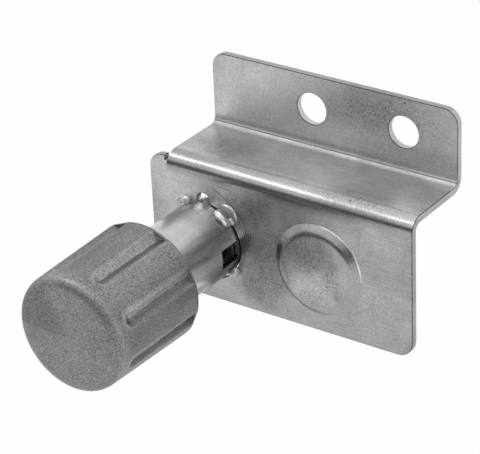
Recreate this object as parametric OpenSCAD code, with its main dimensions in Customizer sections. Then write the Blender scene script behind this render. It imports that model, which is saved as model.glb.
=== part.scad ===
// Button door lock: a push knob on a sprung bolt, carried by a tube welded into a Z-bent bracket.
// Origin: midway between the two mounting holes, on the rear face of the upper flange.
// +X runs right along the bracket, +Y away from the knob and through the mounting face, +Z up.

/* [Bracket] */
// Thickness of the sheet
sheet_t = 2; // [1.5:0.1:2.6]
// Length of the upper flange and of the web
flange_len = 75.5; // [66:0.5:100]
// Height of the upper flange above the web
flange_h = 20.7; // [16:0.1:30]
// Depth of the step, from the front plate's face to the upper flange's face
step_depth = 22.5; // [14:0.5:32]
// Height of the front plate, up to the top of the web
plate_h = 39.9; // [35:0.1:50]
// How far the front plate's ear runs past the left end of the web
ear_w = 5.6; // [4.5:0.1:7]
// Width of the relief cut between the ear and the bend
relief_w = 0.5; // [0.4:0.1:1.2]
// Depth of the relief cut, from the ear's top
relief_l = 1.2; // [0.8:0.1:2.4]
// How far the ear's top lies below the web's top
ear_drop = 0.7; // [0.3:0.1:2]
// Inside radius of both bends
bend_r = 2; // [1:0.1:3]
// Radius of the corners of the upper flange and of the ear
corner_r = 4.2; // [2:0.1:4.4]
// Radius of the front plate's bottom corners
plate_corner_r = 4.6; // [2:0.1:5]

/* [Mounting holes] */
// Diameter of each mounting hole
hole_d = 9; // [5:0.1:10]
// Distance between the two mounting holes
hole_pitch = 28; // [20:0.5:40]
// Distance from the middle of the holes to the right edge
hole_right = 30; // [22:0.5:33]
// Distance from the hole centres to the top edge
hole_top = 9.6; // [7:0.1:10]

/* [Boss] */
// Foot diameter of the round raised boss
boss_d = 26.3; // [22:0.1:28]
// Diameter of the boss's flat top
boss_top_d = 19.2; // [8:0.1:20]
// Height of the boss
boss_h = 1.6; // [0.6:0.1:1.9]
// Distance from the tube's axis to the boss's centre, along the plate
boss_pitch = 35.9; // [32:0.1:40]
// How far the boss's centre lies above the tube's axis
boss_up = 1; // [-1:0.1:2]

/* [Housing tube] */
// Outside diameter of the tube
tube_d = 22; // [21:0.1:23]
// Wall of the tube
tube_wall = 1; // [0.9:0.1:1.6]
// Distance from the plate's left edge to the tube's axis
tube_left = 17; // [16.5:0.1:22]
// Distance from the plate's bottom edge to the tube's axis
tube_up = 17.2; // [16.5:0.1:19]
// How deep the tube sits in the plate's hole
tube_in = 1.6; // [0.5:0.1:1.6]
// Radial gap between the tube and the plate's hole
plate_gap = 0.45; // [0.3:0.05:0.7]
// How far the plate's hole sits to the right of the tube's axis, and as far below it
hole_shift = 0.15; // [0:0.05:0.2]
// Width of the window at each side of the tube
window_w = 5.5; // [4.1:0.1:7]
// Gap between the plate's face and the near end of each window
window_gap = 0.3; // [0:0.1:0.8]
// Distance from the plate's face to the far end of each window
window_l = 7.5; // [6:0.1:10]
// Radius of the key notch in the plate's hole
notch_r = 2.15; // [2.1:0.05:2.6]
// How far the notch's centre lies outside the tube
notch_up = 0.6; // [0.4:0.1:0.8]
// Half width of the key nib on the tube
nib_half_w = 1.8; // [1.2:0.1:1.8]
// Height of the key nib over the tube
nib_h = 1; // [0.6:0.1:1.2]
// Length of the key nib in front of the plate
nib_l = 3.5; // [2.6:0.1:5]

/* [Tack welds] */
// Angles of the weld beads round the tube, counted from the right
weld_angles = [49, 119, 208, 320];
// Radii of the weld beads, in the same order
weld_radii = [2.5, 1.6, 2, 1.5];

/* [Knob] */
// Diameter of the knob at its open rim
knob_d = 33.7; // [32:0.1:38]
// Diameter of the knob at its front
knob_front_d = 32.2; // [30:0.1:33]
// Length of the knob
knob_l = 33; // [31:0.1:36]
// Wall in front of the knob's cavity
knob_wall = 4.8; // [4:0.1:6]
// Radius of the knob's front edge
knob_edge_r = 2.4; // [1:0.1:3.5]
// Height of the shallow dome on the knob's front
knob_dome = 0.3; // [0.1:0.1:0.8]
// Chamfer of the knob's rim
knob_rim_c = 0.4; // [0.1:0.1:0.6]
// Number of flutes
flute_count = 8; // [4:1:10]
// Angle of the first flute, counted from the right
flute_turn = 23; // [0:0.5:44]
// Depth of a flute at the rim
flute_depth = 1.6; // [0.9:0.1:1.9]
// Half of a flute's opening angle
flute_half_angle = 55; // [35:1:60]
// Length of a flute up to the middle of its rounded front end
flute_l = 24.5; // [15:0.5:26]
// Thickness of the lip that closes the flutes at the rim
flute_lip = 1.1; // [0.8:0.1:2]
// How far the lip lies below the rim over each flute
lip_drop = 0.2; // [0.1:0.1:0.6]
// Radial gap between the tube and the knob's cavity
skirt_gap = 1; // [0.7:0.1:1.2]
// Diameter of the hub inside the knob
hub_d = 12.6; // [11.6:0.1:12.6]
// Length of the hub inside the knob
hub_l = 9.6; // [7:0.1:12]

/* [Action] */
// Gap between the bracket's plate and the knob's rim when the button is out
knob_gap = 26.1; // [26.1:0.1:32]
// Travel of the button
stroke = 18; // [8:0.5:18]
// Radial clearance of the sliding fits
fit_gap = 0.05; // [0.03:0.01:0.08]

/* [Spindle and bolt] */
// Diameter of the spindle
spindle_d = 10; // [9:0.1:10.4]
// Diameter of the spindle's threaded end
thread_d = 8; // [6:0.5:8]
// Length of the spindle's threaded end
thread_l = 11; // [8.5:0.1:11]
// Radial gap between the bolt's collar and the tube's bore
collar_gap = 0.3; // [0.2:0.05:0.6]
// Diameter of the bolt's nose
nose_d = 12; // [11.5:0.1:12.5]
// How far the bolt stands behind the plate's front face when the button is out
bolt_reach = 20; // [16:0.5:22]
// Length of the chamfer on the bolt's nose
nose_chamfer = 2; // [1:0.1:3]
// Depth of the spindle's seat in the bolt
socket_l = 13; // [9:0.5:14]
// Diameter of the roll pin
pin_d = 4; // [3:0.1:4]
// Wall of the roll pin
pin_wall = 0.8; // [0.5:0.1:1]

/* [Bush, rings and washers] */
// Length of the guide bush
bush_l = 10.8; // [8:0.1:10.8]
// Thickness of the retaining ring
ring_t = 1; // [0.8:0.1:1.2]
// Depth of the ring's groove in the tube
ring_groove = 0.4; // [0.3:0.1:0.5]
// Radial width of the retaining ring
ring_w = 1.7; // [1.4:0.1:1.8]
// Thickness of the stop washer
stop_t = 1.5; // [1:0.1:2]
// Thickness of the rear spring seat
rear_seat_t = 1; // [0.6:0.1:1.2]
// Thickness of the front spring seat
front_seat_t = 1.2; // [0.8:0.1:1.4]
// Length of the slide ring in the knob's skirt
liner_l = 6; // [4:0.1:6]

/* [Spring] */
// Diameter of the spring's wire
wire_d = 1.3; // [1:0.1:1.6]
// Number of turns of the spring
spring_turns = 7; // [4:1:7]
// Gap between the spring and the hub inside it
spring_gap = 0.4; // [0.3:0.1:0.6]

/* [Hidden] */
$fn = 96;
cut = 1;

// Bracket, in the part's own axes
right_x = hole_right;
web_left_x = right_x - flange_len;
plate_left_x = web_left_x - ear_w;
top_z = hole_top;
web_top_z = top_z - flange_h;
plate_bottom_z = web_top_z - plate_h;
plate_y = -sheet_t - step_depth;
bend_out_r = bend_r + sheet_t;
rear_bend_y = -bend_out_r;
rear_bend_z = web_top_z + bend_r;
front_bend_y = plate_y + bend_out_r;
front_bend_z = web_top_z - bend_out_r;

// Tube's axis, on the front plate's face
axis_x = plate_left_x + tube_left;
axis_z = plate_bottom_z + tube_up;

// Radii about the tube's axis
tube_r = tube_d / 2;
bore_r = tube_r - tube_wall;
plate_hole_r = tube_r + plate_gap;
nib_r = (pow(nib_half_w, 2) + pow(nib_h, 2)) / (2 * nib_h);
nib_centre = tube_r + nib_h - nib_r;
skirt_r = tube_r + skirt_gap;
hub_r = hub_d / 2;
spindle_r = spindle_d / 2;
collar_r = bore_r - collar_gap;
rings_per_turn = 8;
spring_r = (hub_r + spring_gap) / cos(180 / rings_per_turn) + wire_d / 2;
loose_gap = 0.4;

// Heights in front of the plate's face, with the button out
ring_land = 0.7;
ring_h = window_l + ring_land;
bush_h = ring_h + ring_t;
collar_h = bush_h - stop_t;
rear_seat_h = bush_h + bush_l;
spring_h = rear_seat_h + rear_seat_t;
knob_h = knob_gap;
front_h = knob_h + knob_l;
floor_h = front_h - knob_wall;
turn_gap = 0.1;
front_seat_h = floor_h - turn_gap - front_seat_t;
hub_h = floor_h - hub_l;
end_gap = 0.5;
collar_stand = 1;
tube_h = front_seat_h - stroke - end_gap;
pin_h = window_l / 2;
liner_inset = 0.8;
liner_h = knob_h + liner_inset;

// Puts its children on the tube's axis: x right, y up, and z forward from the plate's face
module on_axis() {
    translate([axis_x, plate_y, axis_z]) rotate([90, 0, 0]) children();
}

// Ring with a square section, from one height up
module ring(outer_r, inner_r, from_h, height) {
    difference() {
        translate([0, 0, from_h]) cylinder(r = outer_r, h = height);
        translate([0, 0, from_h - cut]) cylinder(r = inner_r, h = height + 2 * cut);
    }
}

// Waste outside a rounded corner, for the corner at the origin of a sheet that lies at +x and +y
module corner_waste(r) {
    difference() {
        translate([-cut, -cut]) square([r + cut, r + cut]);
        translate([r, r]) circle(r = r);
    }
}

// Sheet drawn in x and z, with its rear face at one y
module sheet_at(rear_y) {
    translate([0, rear_y, 0]) rotate([90, 0, 0]) linear_extrude(sheet_t) children();
}

// Upper flange with its two holes, in x and z
module flange_outline() {
    difference() {
        translate([web_left_x, rear_bend_z]) square([flange_len, top_z - rear_bend_z]);
        translate([right_x, top_z]) rotate(180) corner_waste(corner_r);
        translate([web_left_x, top_z]) rotate(-90) corner_waste(corner_r);
        for (side = [-1, 1]) {
            translate([side * hole_pitch / 2, 0]) circle(d = hole_d);
        }
    }
}

// Front plate with its ear, key-notched hole and rounded corners, in x and z
module plate_outline() {
    ear_top_z = web_top_z - ear_drop;
    difference() {
        union() {
            translate([plate_left_x, plate_bottom_z])
                square([right_x - plate_left_x, front_bend_z - plate_bottom_z]);
            translate([plate_left_x, plate_bottom_z]) square([ear_w, ear_top_z - plate_bottom_z]);
        }
        translate([web_left_x - relief_w, ear_top_z - relief_l]) square([relief_w, relief_l + cut]);
        translate([plate_left_x, ear_top_z]) rotate(-90) corner_waste(corner_r);
        translate([plate_left_x, plate_bottom_z]) corner_waste(plate_corner_r);
        translate([right_x, plate_bottom_z]) rotate(90) corner_waste(plate_corner_r);
        translate([axis_x + hole_shift, axis_z - hole_shift]) circle(r = plate_hole_r);
        translate([axis_x, axis_z + tube_r + notch_up]) circle(r = notch_r);
    }
}

// Quarter ring along x about a bend's centre; the sign turns it to the rear and down or front and up
module bend(centre_y, centre_z, side) {
    translate([web_left_x, centre_y, centre_z])
        intersection() {
            rotate([0, 90, 0]) ring(bend_out_r, bend_r, 0, flange_len);
            translate([-cut, side > 0 ? 0 : -bend_out_r, side > 0 ? -bend_out_r : 0])
                cube([flange_len + 2 * cut, bend_out_r, bend_out_r]);
        }
}

// Body of revolution under the boss's surface, from a floor up: flat top, rounded edge, straight cone
module boss_form(floor_h, lift) {
    steps = 4;
    rounding = 0.3;
    top_r = boss_top_d / 2;
    run = boss_d / 2 - top_r;
    slope = boss_h / (1 - rounding / 2);
    rotate_extrude() polygon(concat(
        [[0, floor_h], [0, boss_h + lift]],
        [for (i = [0:steps]) let (u = rounding * i / steps)
            [top_r + run * u, boss_h + lift - slope * pow(u, 2) / (2 * rounding)]],
        [[boss_d / 2, lift], [boss_d / 2, floor_h]]
    ));
}

module bracket() {
    color("silver") difference() {
        union() {
            sheet_at(0) flange_outline();
            sheet_at(plate_y + sheet_t) plate_outline();
            translate([web_left_x, front_bend_y, web_top_z - sheet_t])
                cube([flange_len, rear_bend_y - front_bend_y, sheet_t]);
            bend(rear_bend_y, rear_bend_z, 1);
            bend(front_bend_y, front_bend_z, -1);
            on_axis() translate([boss_pitch, boss_up, 0]) boss_form(-sheet_t / 2, 0);
        }
        on_axis() translate([boss_pitch, boss_up, 0]) boss_form(-sheet_t - cut, -sheet_t);
    }
}

// Round-nosed key rib along the tube, of one radius
module nib_form(r) {
    round_h = nib_l - nib_half_w;
    translate([0, nib_centre, -tube_in]) cylinder(r = r, h = tube_in + round_h, $fn = 48);
    translate([0, nib_centre, round_h]) sphere(r = r, $fn = 48);
}

module housing_tube() {
    color("silver") on_axis() difference() {
        union() {
            translate([0, 0, -tube_in]) cylinder(r = tube_r, h = tube_in + tube_h);
            nib_form(nib_r);
        }
        translate([0, 0, -tube_in - cut]) cylinder(r = bore_r, h = tube_in + tube_h + 2 * cut);
        translate([0, 0, ring_h]) cylinder(r = bore_r + ring_groove, h = ring_t);
        translate([-tube_r - cut, -window_w / 2, window_gap])
            cube([tube_d + 2 * cut, window_w, window_l - window_gap]);
    }
}

// One bead: a large lump in the corner that climbs the tube, with a smaller one run on beside it
module weld_bead(r) {
    climb = 0.75;
    second = 0.7;
    difference() {
        union() {
            translate([tube_r, 0, climb * r]) sphere(r = r, $fn = 48);
            translate([tube_r, second * r, climb * r / 2]) sphere(r = second * r, $fn = 48);
        }
        translate([0, 0, -tube_r]) cylinder(r = tube_r, h = 2 * tube_r);
        translate([0, -tube_r, -tube_d]) cube([tube_d, tube_d, tube_d]);
    }
}

module tack_welds() {
    color("gainsboro") on_axis() for (i = [0:len(weld_angles) - 1]) {
        rotate(weld_angles[i]) weld_bead(weld_radii[i]);
    }
}

module guide_bush() {
    color("peru") on_axis() ring(bore_r, spindle_r + fit_gap, bush_h, bush_l);
}

// Open spring ring in the tube's groove, with its gap at the bottom
module retaining_ring() {
    ring_gap = 6;
    play = 0.05;
    outer_r = bore_r + ring_groove - play;
    color("dimgray") on_axis() difference() {
        ring(outer_r, outer_r - ring_w, ring_h + play, ring_t - play);
        translate([-ring_gap / 2, -tube_r, ring_h - cut]) cube([ring_gap, tube_r, ring_t + 2 * cut]);
    }
}

module stop_washer() {
    ring_bore_r = bore_r + ring_groove - ring_w;
    color("ivory") on_axis() ring(ring_bore_r - loose_gap, spindle_r, collar_h, stop_t);
}

module rear_spring_seat() {
    color("darkgray") on_axis() ring(bore_r - loose_gap, spindle_r + loose_gap, rear_seat_h, rear_seat_t);
}

module front_spring_seat() {
    color("darkgray") on_axis() ring(skirt_r - loose_gap, hub_r + loose_gap / 2, front_seat_h, front_seat_t);
}

// Point on the spring's wire: along the turns, then round the wire
function spring_point(t, side, low, high, sides) =
    let (turn = 360 * spring_turns * t, round = 360 * side / sides)
    let (r = spring_r + wire_d / 2 * cos(round))
    [r * cos(turn), r * sin(turn), low + (high - low) * t + wire_d / 2 * sin(round)];

// Least distance between the points of one ring of the wire and those of another
function ring_distance(points, one, other, sides) = min([
    for (a = [0:sides - 1]) for (b = [0:sides - 1]) norm(points[one * sides + a] - points[other * sides + b])
]);

module return_spring() {
    sides = 6;
    seat_gap = 0.05;
    rings = rings_per_turn * spring_turns;
    low = spring_h + seat_gap + wire_d / 2;
    high = front_seat_h - seat_gap - wire_d / 2;
    points = [
        for (i = [0:rings]) for (side = [0:sides - 1]) spring_point(i / rings, side, low, high, sides)
    ];
    echo(least_gap_between_turns = min([
        for (i = [0:rings - rings_per_turn]) ring_distance(points, i, i + rings_per_turn, sides)
    ]));
    walls = [
        for (i = [0:rings - 1]) for (side = [0:sides - 1])
            let (a = i * sides + side, b = i * sides + (side + 1) % sides)
            each [[a, b, b + sides], [a, b + sides, a + sides]]
    ];
    last = rings * sides;
    ends = [
        for (side = [1:sides - 2]) each [[0, side + 1, side], [last, last + side, last + side + 1]]
    ];
    color("gray") on_axis() polyhedron(points = points, faces = concat(walls, ends), convexity = 10);
}

module spindle() {
    low = collar_h - socket_l;
    color("lightgray") on_axis() difference() {
        union() {
            translate([0, 0, low]) cylinder(r = spindle_r, h = hub_h - low);
            translate([0, 0, hub_h]) cylinder(d = thread_d, h = thread_l);
        }
        translate([0, 0, pin_h]) rotate([0, 90, 0]) cylinder(d = pin_d, h = tube_d, center = true, $fn = 48);
    }
}

module locking_bolt() {
    collar_behind = sheet_t + collar_stand;
    color("gainsboro") on_axis() difference() {
        union() {
            translate([0, 0, -collar_behind]) cylinder(r = collar_r, h = collar_h + collar_behind);
            translate([0, 0, nose_chamfer - bolt_reach])
                cylinder(d = nose_d, h = bolt_reach - nose_chamfer - collar_behind);
            translate([0, 0, -bolt_reach])
                cylinder(d1 = nose_d - nose_chamfer, d2 = nose_d, h = nose_chamfer);
        }
        translate([0, 0, collar_h - socket_l - turn_gap]) cylinder(r = spindle_r, h = socket_l + cut);
        translate([0, 0, pin_h]) rotate([0, 90, 0]) cylinder(d = pin_d, h = tube_d, center = true, $fn = 48);
    }
}

module bolt_pin() {
    pin_l = 2 * (collar_r - loose_gap);
    color("dimgray") on_axis() translate([0, 0, pin_h]) rotate([0, 90, 0]) difference() {
        cylinder(d = pin_d, h = pin_l, center = true, $fn = 48);
        cylinder(d = pin_d - 2 * pin_wall, h = pin_l + 2 * cut, center = true, $fn = 48);
    }
}

// Outside of the knob: chamfered rim, slight taper, round front edge and a shallow dome
module knob_form() {
    steps = 8;
    rim_r = knob_d / 2;
    edge_r = knob_front_d / 2 - knob_edge_r;
    face_h = front_h - knob_dome;
    rotate_extrude() polygon(concat(
        [[0, knob_h], [rim_r - knob_rim_c, knob_h], [rim_r, knob_h + knob_rim_c]],
        [for (i = [0:steps]) let (a = 90 * i / steps)
            [edge_r + knob_edge_r * cos(a), face_h - knob_edge_r * (1 - sin(a))]],
        [[edge_r / 2, front_h - knob_dome / 4], [0, front_h]]
    ));
}

// V cut along the knob from the lip to a rounded front end, with a narrow flat over the lip
module flute() {
    reach = 3;
    half_w = reach * tan(flute_half_angle);
    flat_half_w = 5;
    lip_run = 0.5;
    translate([knob_d / 2 - flute_depth, 0, knob_h + flute_lip]) {
        linear_extrude(flute_l) polygon([[0, 0], [reach, -half_w], [reach, half_w]]);
        translate([0, 0, flute_l]) rotate([0, 90, 0]) cylinder(r1 = 0, r2 = half_w, h = reach);
    }
    translate([knob_d / 2 - lip_drop, -flat_half_w, knob_h - cut])
        cube([reach, 2 * flat_half_w, cut + flute_lip + lip_run]);
}

module knob() {
    color("dimgray") on_axis() difference() {
        knob_form();
        ring(skirt_r, hub_r, hub_h, hub_l);
        translate([0, 0, knob_h - cut]) cylinder(r = skirt_r, h = hub_h - knob_h + cut);
        translate([0, 0, hub_h - cut]) cylinder(d = thread_d, h = thread_l + turn_gap + cut);
        for (i = [0:flute_count - 1]) rotate(flute_turn + 360 * i / flute_count) flute();
    }
}

module skirt_liner() {
    color("black") on_axis() ring(skirt_r, tube_r + fit_gap, liner_h, liner_l);
}

bracket();
housing_tube();
tack_welds();
guide_bush();
retaining_ring();
stop_washer();
rear_spring_seat();
return_spring();
front_spring_seat();
spindle();
locking_bolt();
bolt_pin();
knob();
skirt_liner();
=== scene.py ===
import math

import bmesh
import bpy
from mathutils import Matrix, Vector, noise


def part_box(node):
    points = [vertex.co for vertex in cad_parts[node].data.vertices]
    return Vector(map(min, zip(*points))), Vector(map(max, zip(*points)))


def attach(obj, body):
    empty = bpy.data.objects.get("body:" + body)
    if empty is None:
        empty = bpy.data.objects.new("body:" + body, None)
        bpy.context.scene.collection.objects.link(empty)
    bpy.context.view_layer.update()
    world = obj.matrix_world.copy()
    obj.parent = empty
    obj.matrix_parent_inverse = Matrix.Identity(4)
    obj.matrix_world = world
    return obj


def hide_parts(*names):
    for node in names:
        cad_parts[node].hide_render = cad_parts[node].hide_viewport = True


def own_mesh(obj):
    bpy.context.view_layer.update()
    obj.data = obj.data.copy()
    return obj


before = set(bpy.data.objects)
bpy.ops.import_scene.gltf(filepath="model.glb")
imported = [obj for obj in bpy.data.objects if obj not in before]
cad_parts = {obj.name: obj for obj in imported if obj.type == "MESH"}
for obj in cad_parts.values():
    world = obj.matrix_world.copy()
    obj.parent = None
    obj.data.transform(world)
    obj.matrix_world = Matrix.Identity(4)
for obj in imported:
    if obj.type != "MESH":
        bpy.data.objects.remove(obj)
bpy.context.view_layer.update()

MM = 0.001

# The camera stands where the photograph was taken: high in front of the lock's right side,
# about 0.6 m away, with a long lens. The image is 480 by 454 pixels.
def direction(azimuth, elevation):
    """Unit vector towards an azimuth and elevation in degrees."""
    a = math.radians(azimuth)
    e = math.radians(elevation)
    return Vector((math.sin(a) * math.cos(e), -math.cos(a) * math.cos(e), math.sin(e)))


image_width = 480
focal_pixels = 2313.4
camera_azimuth = 36.043
camera_elevation = 28.151
camera_roll = math.radians(-2.644)
camera_target = Vector((-16.272, -33.066, -21.27)) * MM
camera_distance = 593.9 * MM
sensor_width = 36

back = direction(camera_azimuth, camera_elevation)
level = direction(camera_azimuth + 90, 0)
upright = back.cross(level)
rolled_right = level * math.cos(camera_roll) + upright * math.sin(camera_roll)
rolled_up = upright * math.cos(camera_roll) - level * math.sin(camera_roll)
placing = Matrix((rolled_right, rolled_up, back)).transposed().to_4x4()
placing.translation = camera_target + back * camera_distance
camera = bpy.data.objects.new("camera", bpy.data.cameras.new("camera"))
camera.matrix_world = placing
camera.data.sensor_width = sensor_width
camera.data.lens = focal_pixels / image_width * sensor_width
camera.data.clip_end = 10
bpy.context.scene.collection.objects.link(camera)
bpy.context.scene.camera = camera
bpy.context.scene.view_settings.view_transform = "Standard"


# The studio: a white surround, which the camera and the metal see, and a pale floor well under
# the lock, which hangs free as it does in the photograph, so its shadow falls soft and far below.
def put(tree, kind, sockets=None, **settings):
    """Adds a node, with its settings and with its sockets filled or linked."""
    made = tree.nodes.new(kind)
    for name, value in settings.items():
        setattr(made, name, value)
    for key, value in (sockets or {}).items():
        if isinstance(value, bpy.types.NodeSocket):
            tree.links.new(value, made.inputs[key])
        else:
            made.inputs[key].default_value = value
    return made


def calc(tree, operation, *values):
    """The output of one sum on numbers or sockets."""
    return put(tree, "ShaderNodeMath", dict(enumerate(values)), operation=operation).outputs[0]


surround_light = 0.55
world = bpy.data.worlds.new("white_surround")
world.use_nodes = True
bpy.context.scene.world = world
tree = world.node_tree
tree.nodes.clear()
path = put(tree, "ShaderNodeLightPath")
seen = calc(tree, "MAXIMUM", path.outputs["Is Camera Ray"], path.outputs["Is Transmission Ray"])
seen = calc(tree, "MAXIMUM", seen, path.outputs["Is Glossy Ray"])
lit = put(tree, "ShaderNodeBackground", {"Color": (1, 1, 1, 1), "Strength": surround_light})
white = put(tree, "ShaderNodeBackground", {"Color": (1, 1, 1, 1), "Strength": 1})
shown = put(tree, "ShaderNodeMixShader", {0: seen, 1: lit.outputs[0], 2: white.outputs[0]})
put(tree, "ShaderNodeOutputWorld", {0: shown.outputs[0]})


def new_object(name, shape):
    """Turns a bmesh into an object at the origin."""
    mesh = bpy.data.meshes.new(name)
    shape.to_mesh(mesh)
    shape.free()
    made = bpy.data.objects.new(name, mesh)
    bpy.context.scene.collection.objects.link(made)
    return made


def new_material(name):
    """A material with only its output, and that material's node tree and output node."""
    made = bpy.data.materials.new(name)
    made.use_nodes = True
    made.node_tree.nodes.clear()
    output = put(made.node_tree, "ShaderNodeOutputMaterial")
    return made, made.node_tree, output


floor_drop = 170 * MM
floor_half = 2.5
floor_tone = 0.9
floor_glow = 0.98
floor_shape = bmesh.new()
bmesh.ops.create_grid(floor_shape, x_segments=1, y_segments=1, size=floor_half)
bmesh.ops.translate(floor_shape, vec=(0, 0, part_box("bracket")[0].z - floor_drop), verts=floor_shape.verts)
floor = new_object("floor", floor_shape)
floor_paint, tree, output = new_material("pale_floor")
path = put(tree, "ShaderNodeLightPath")
seen = calc(tree, "MAXIMUM", path.outputs["Is Camera Ray"], path.outputs["Is Glossy Ray"])
matt = put(tree, "ShaderNodeBsdfDiffuse", {"Color": (floor_tone, floor_tone, floor_tone, 1)})
glow = put(tree, "ShaderNodeEmission", {"Color": (1, 1, 1, 1), "Strength": 1})
glow_share = calc(tree, "MULTIPLY", seen, floor_glow)
shown = put(tree, "ShaderNodeMixShader", {0: glow_share, 1: matt.outputs[0], 2: glow.outputs[0]})
tree.links.new(shown.outputs[0], output.inputs[0])
floor.data.materials.append(floor_paint)


# Softboxes round the lock. Each hangs at an azimuth and elevation from the lock's middle, counted
# as the camera's own are, and faces it.
studio_middle = Vector((-15, -30, -22)) * MM


def facing(azimuth, elevation, distance):
    """Matrix of a lamp or card that hangs there and faces the lock."""
    away = direction(azimuth, elevation)
    turned = away.to_track_quat("Z", "Y").to_matrix().to_4x4()
    turned.translation = studio_middle + away * distance
    return turned


def softbox(name, azimuth, elevation, distance, wide, high, radiance):
    """A rectangular area lamp of that many metres, whose face has that radiance."""
    lamp = bpy.data.lights.new(name, "AREA")
    lamp.shape = "RECTANGLE"
    lamp.size = wide
    lamp.size_y = high
    lamp.energy = radiance * math.pi * wide * high
    made = bpy.data.objects.new(name, lamp)
    made.matrix_world = facing(azimuth, elevation, distance)
    bpy.context.scene.collection.objects.link(made)
    return made


softbox("key_strip", -56, 51, 0.9, 0.9, 0.12, 4.0)
softbox("top_box", -10, 75, 0.9, 0.6, 0.4, 1.0)
softbox("right_box", 80, 25, 1.0, 0.3, 0.6, 0.6)


# Two dark cards shape what the plated faces mirror: one low in front and one on the right. Only
# reflections see them.
def dark_card(name, azimuth, elevation, distance, wide, high, tone):
    """A grey card of that many metres that hangs there and faces the lock."""
    shape = bmesh.new()
    bmesh.ops.create_grid(shape, x_segments=1, y_segments=1, size=0.5)
    bmesh.ops.scale(shape, vec=(wide, high, 1), verts=shape.verts)
    bmesh.ops.transform(shape, matrix=facing(azimuth, elevation, distance), verts=shape.verts)
    card = new_object(name, shape)
    paint, tree, output = new_material(name)
    grey = put(tree, "ShaderNodeEmission", {"Color": (tone, tone, tone, 1), "Strength": 1})
    tree.links.new(grey.outputs[0], output.inputs[0])
    card.data.materials.append(paint)
    card.visible_camera = False
    card.visible_diffuse = False
    card.visible_shadow = False


dark_card("front_card", -12, 7, 1.0, 1.7, 0.5, 0.1)
dark_card("right_card", 42, 15, 1.0, 0.4, 0.52, 0.12)


# Shader groups for what all the plated and turned metal has: cloudy tone and grain, fine
# scratches, dark specks, soft patches, which lay both wear and painted light and shade, and single
# scratch marks.
def new_group(name, vectors, numbers, results):
    """An empty shader group with those sockets, its input sockets and its output node."""
    made = bpy.data.node_groups.new(name, "ShaderNodeTree")
    for socket in vectors:
        made.interface.new_socket(socket, in_out="INPUT", socket_type="NodeSocketVector")
    for socket in numbers:
        made.interface.new_socket(socket, in_out="INPUT", socket_type="NodeSocketFloat")
    for socket in results:
        made.interface.new_socket(socket, in_out="OUTPUT", socket_type="NodeSocketFloat")
    return made, put(made, "NodeGroupInput").outputs, put(made, "NodeGroupOutput")


def use_group(tree, made, *values):
    """Places a group in a material with its own values and gives its output sockets."""
    return put(tree, "ShaderNodeGroup", dict(enumerate(values)), node_tree=made).outputs


def product(tree, first, *others):
    """Several numbers or sockets multiplied together."""
    for other in others:
        first = calc(tree, "MULTIPLY", first, other)
    return first


def gap_to(tree, value, at):
    """How far one value is from another."""
    return calc(tree, "ABSOLUTE", calc(tree, "SUBTRACT", value, at))


def vector_calc(tree, operation, first, second=None, scale=None):
    """The result of one sum on vectors, which is a number for a length or a dot product."""
    sockets = {0: first}
    if second is not None:
        sockets[1] = second
    if scale is not None:
        sockets[3] = scale
    made = put(tree, "ShaderNodeVectorMath", sockets, operation=operation)
    return made.outputs["Value" if operation in ("LENGTH", "DOT_PRODUCT") else "Vector"]


def remap(tree, value, low, high, new_low=0.0, new_high=1.0, kind="LINEAR"):
    """A value moved from one range to another and held inside it."""
    sockets = {0: value, 1: low, 2: high, 3: new_low, 4: new_high}
    return put(tree, "ShaderNodeMapRange", sockets, clamp=True, interpolation_type=kind).outputs[0]


def noise_at(tree, vector, scale, detail=4.0, roughness=0.55, distortion=0.0):
    """The value of a noise texture."""
    sockets = {
        "Vector": vector, "Scale": scale, "Detail": detail,
        "Roughness": roughness, "Distortion": distortion,
    }
    return put(tree, "ShaderNodeTexNoise", sockets).outputs[0]


def stretched(tree, vector, scale, turn=(0, 0, 0)):
    """A vector turned and scaled by a Mapping node."""
    return put(tree, "ShaderNodeMapping", {"Vector": vector, "Rotation": turn, "Scale": scale}).outputs[0]


tree, given, result = new_group(
    "plating_cloud", ("Vector",), ("Cloud Scale", "Grain Scale", "Grain Share"), ("Tone", "Grain"),
)
cloud_group = tree
clouds = noise_at(tree, given[0], given[1], 5.0, 0.6, 0.6)
grain = noise_at(tree, given[0], given[2], 3.0, 0.7)
tone = calc(tree, "MULTIPLY_ADD", calc(tree, "SUBTRACT", grain, 0.5), given[3], clouds)
tree.links.new(tone, result.inputs[0])
tree.links.new(grain, result.inputs[1])

tree, given, result = new_group("fine_scratches", ("Vector",), ("Density",), ("Mask",))
scratch_group = tree
scratch_ways = ((0.35, (1.0, 14.0, 14.0)), (1.15, (18.0, 18.0, 1.0)), (-0.6, (1.0, 16.0, 16.0)))
lines = 0.0
for turn, stretch in scratch_ways:
    laid = stretched(tree, given[0], stretch, (turn * 0.4, turn, turn * 0.7))
    value = noise_at(tree, laid, given[1], 2.0, 0.5, 0.15)
    line = remap(tree, gap_to(tree, value, 0.5), 0.0, 0.012, 1.0, 0.0)
    broken = noise_at(tree, laid, calc(tree, "MULTIPLY", given[1], 0.3), 1.0)
    line = product(tree, line, remap(tree, broken, 0.5, 0.62))
    lines = calc(tree, "MAXIMUM", lines, line)
tree.links.new(lines, result.inputs[0])

tree, given, result = new_group("dark_specks", ("Vector",), ("Density", "Size", "Share"), ("Mask",))
speck_group = tree
cells = put(tree, "ShaderNodeTexVoronoi", {"Vector": given[0], "Scale": given[1]}).outputs
spot = calc(tree, "LESS_THAN", cells["Distance"], given[2])
chance = put(tree, "ShaderNodeSeparateColor", {0: cells["Color"]}).outputs[0]
chosen = calc(tree, "LESS_THAN", chance, given[3])
tree.links.new(product(tree, spot, chosen), result.inputs[0])

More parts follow.
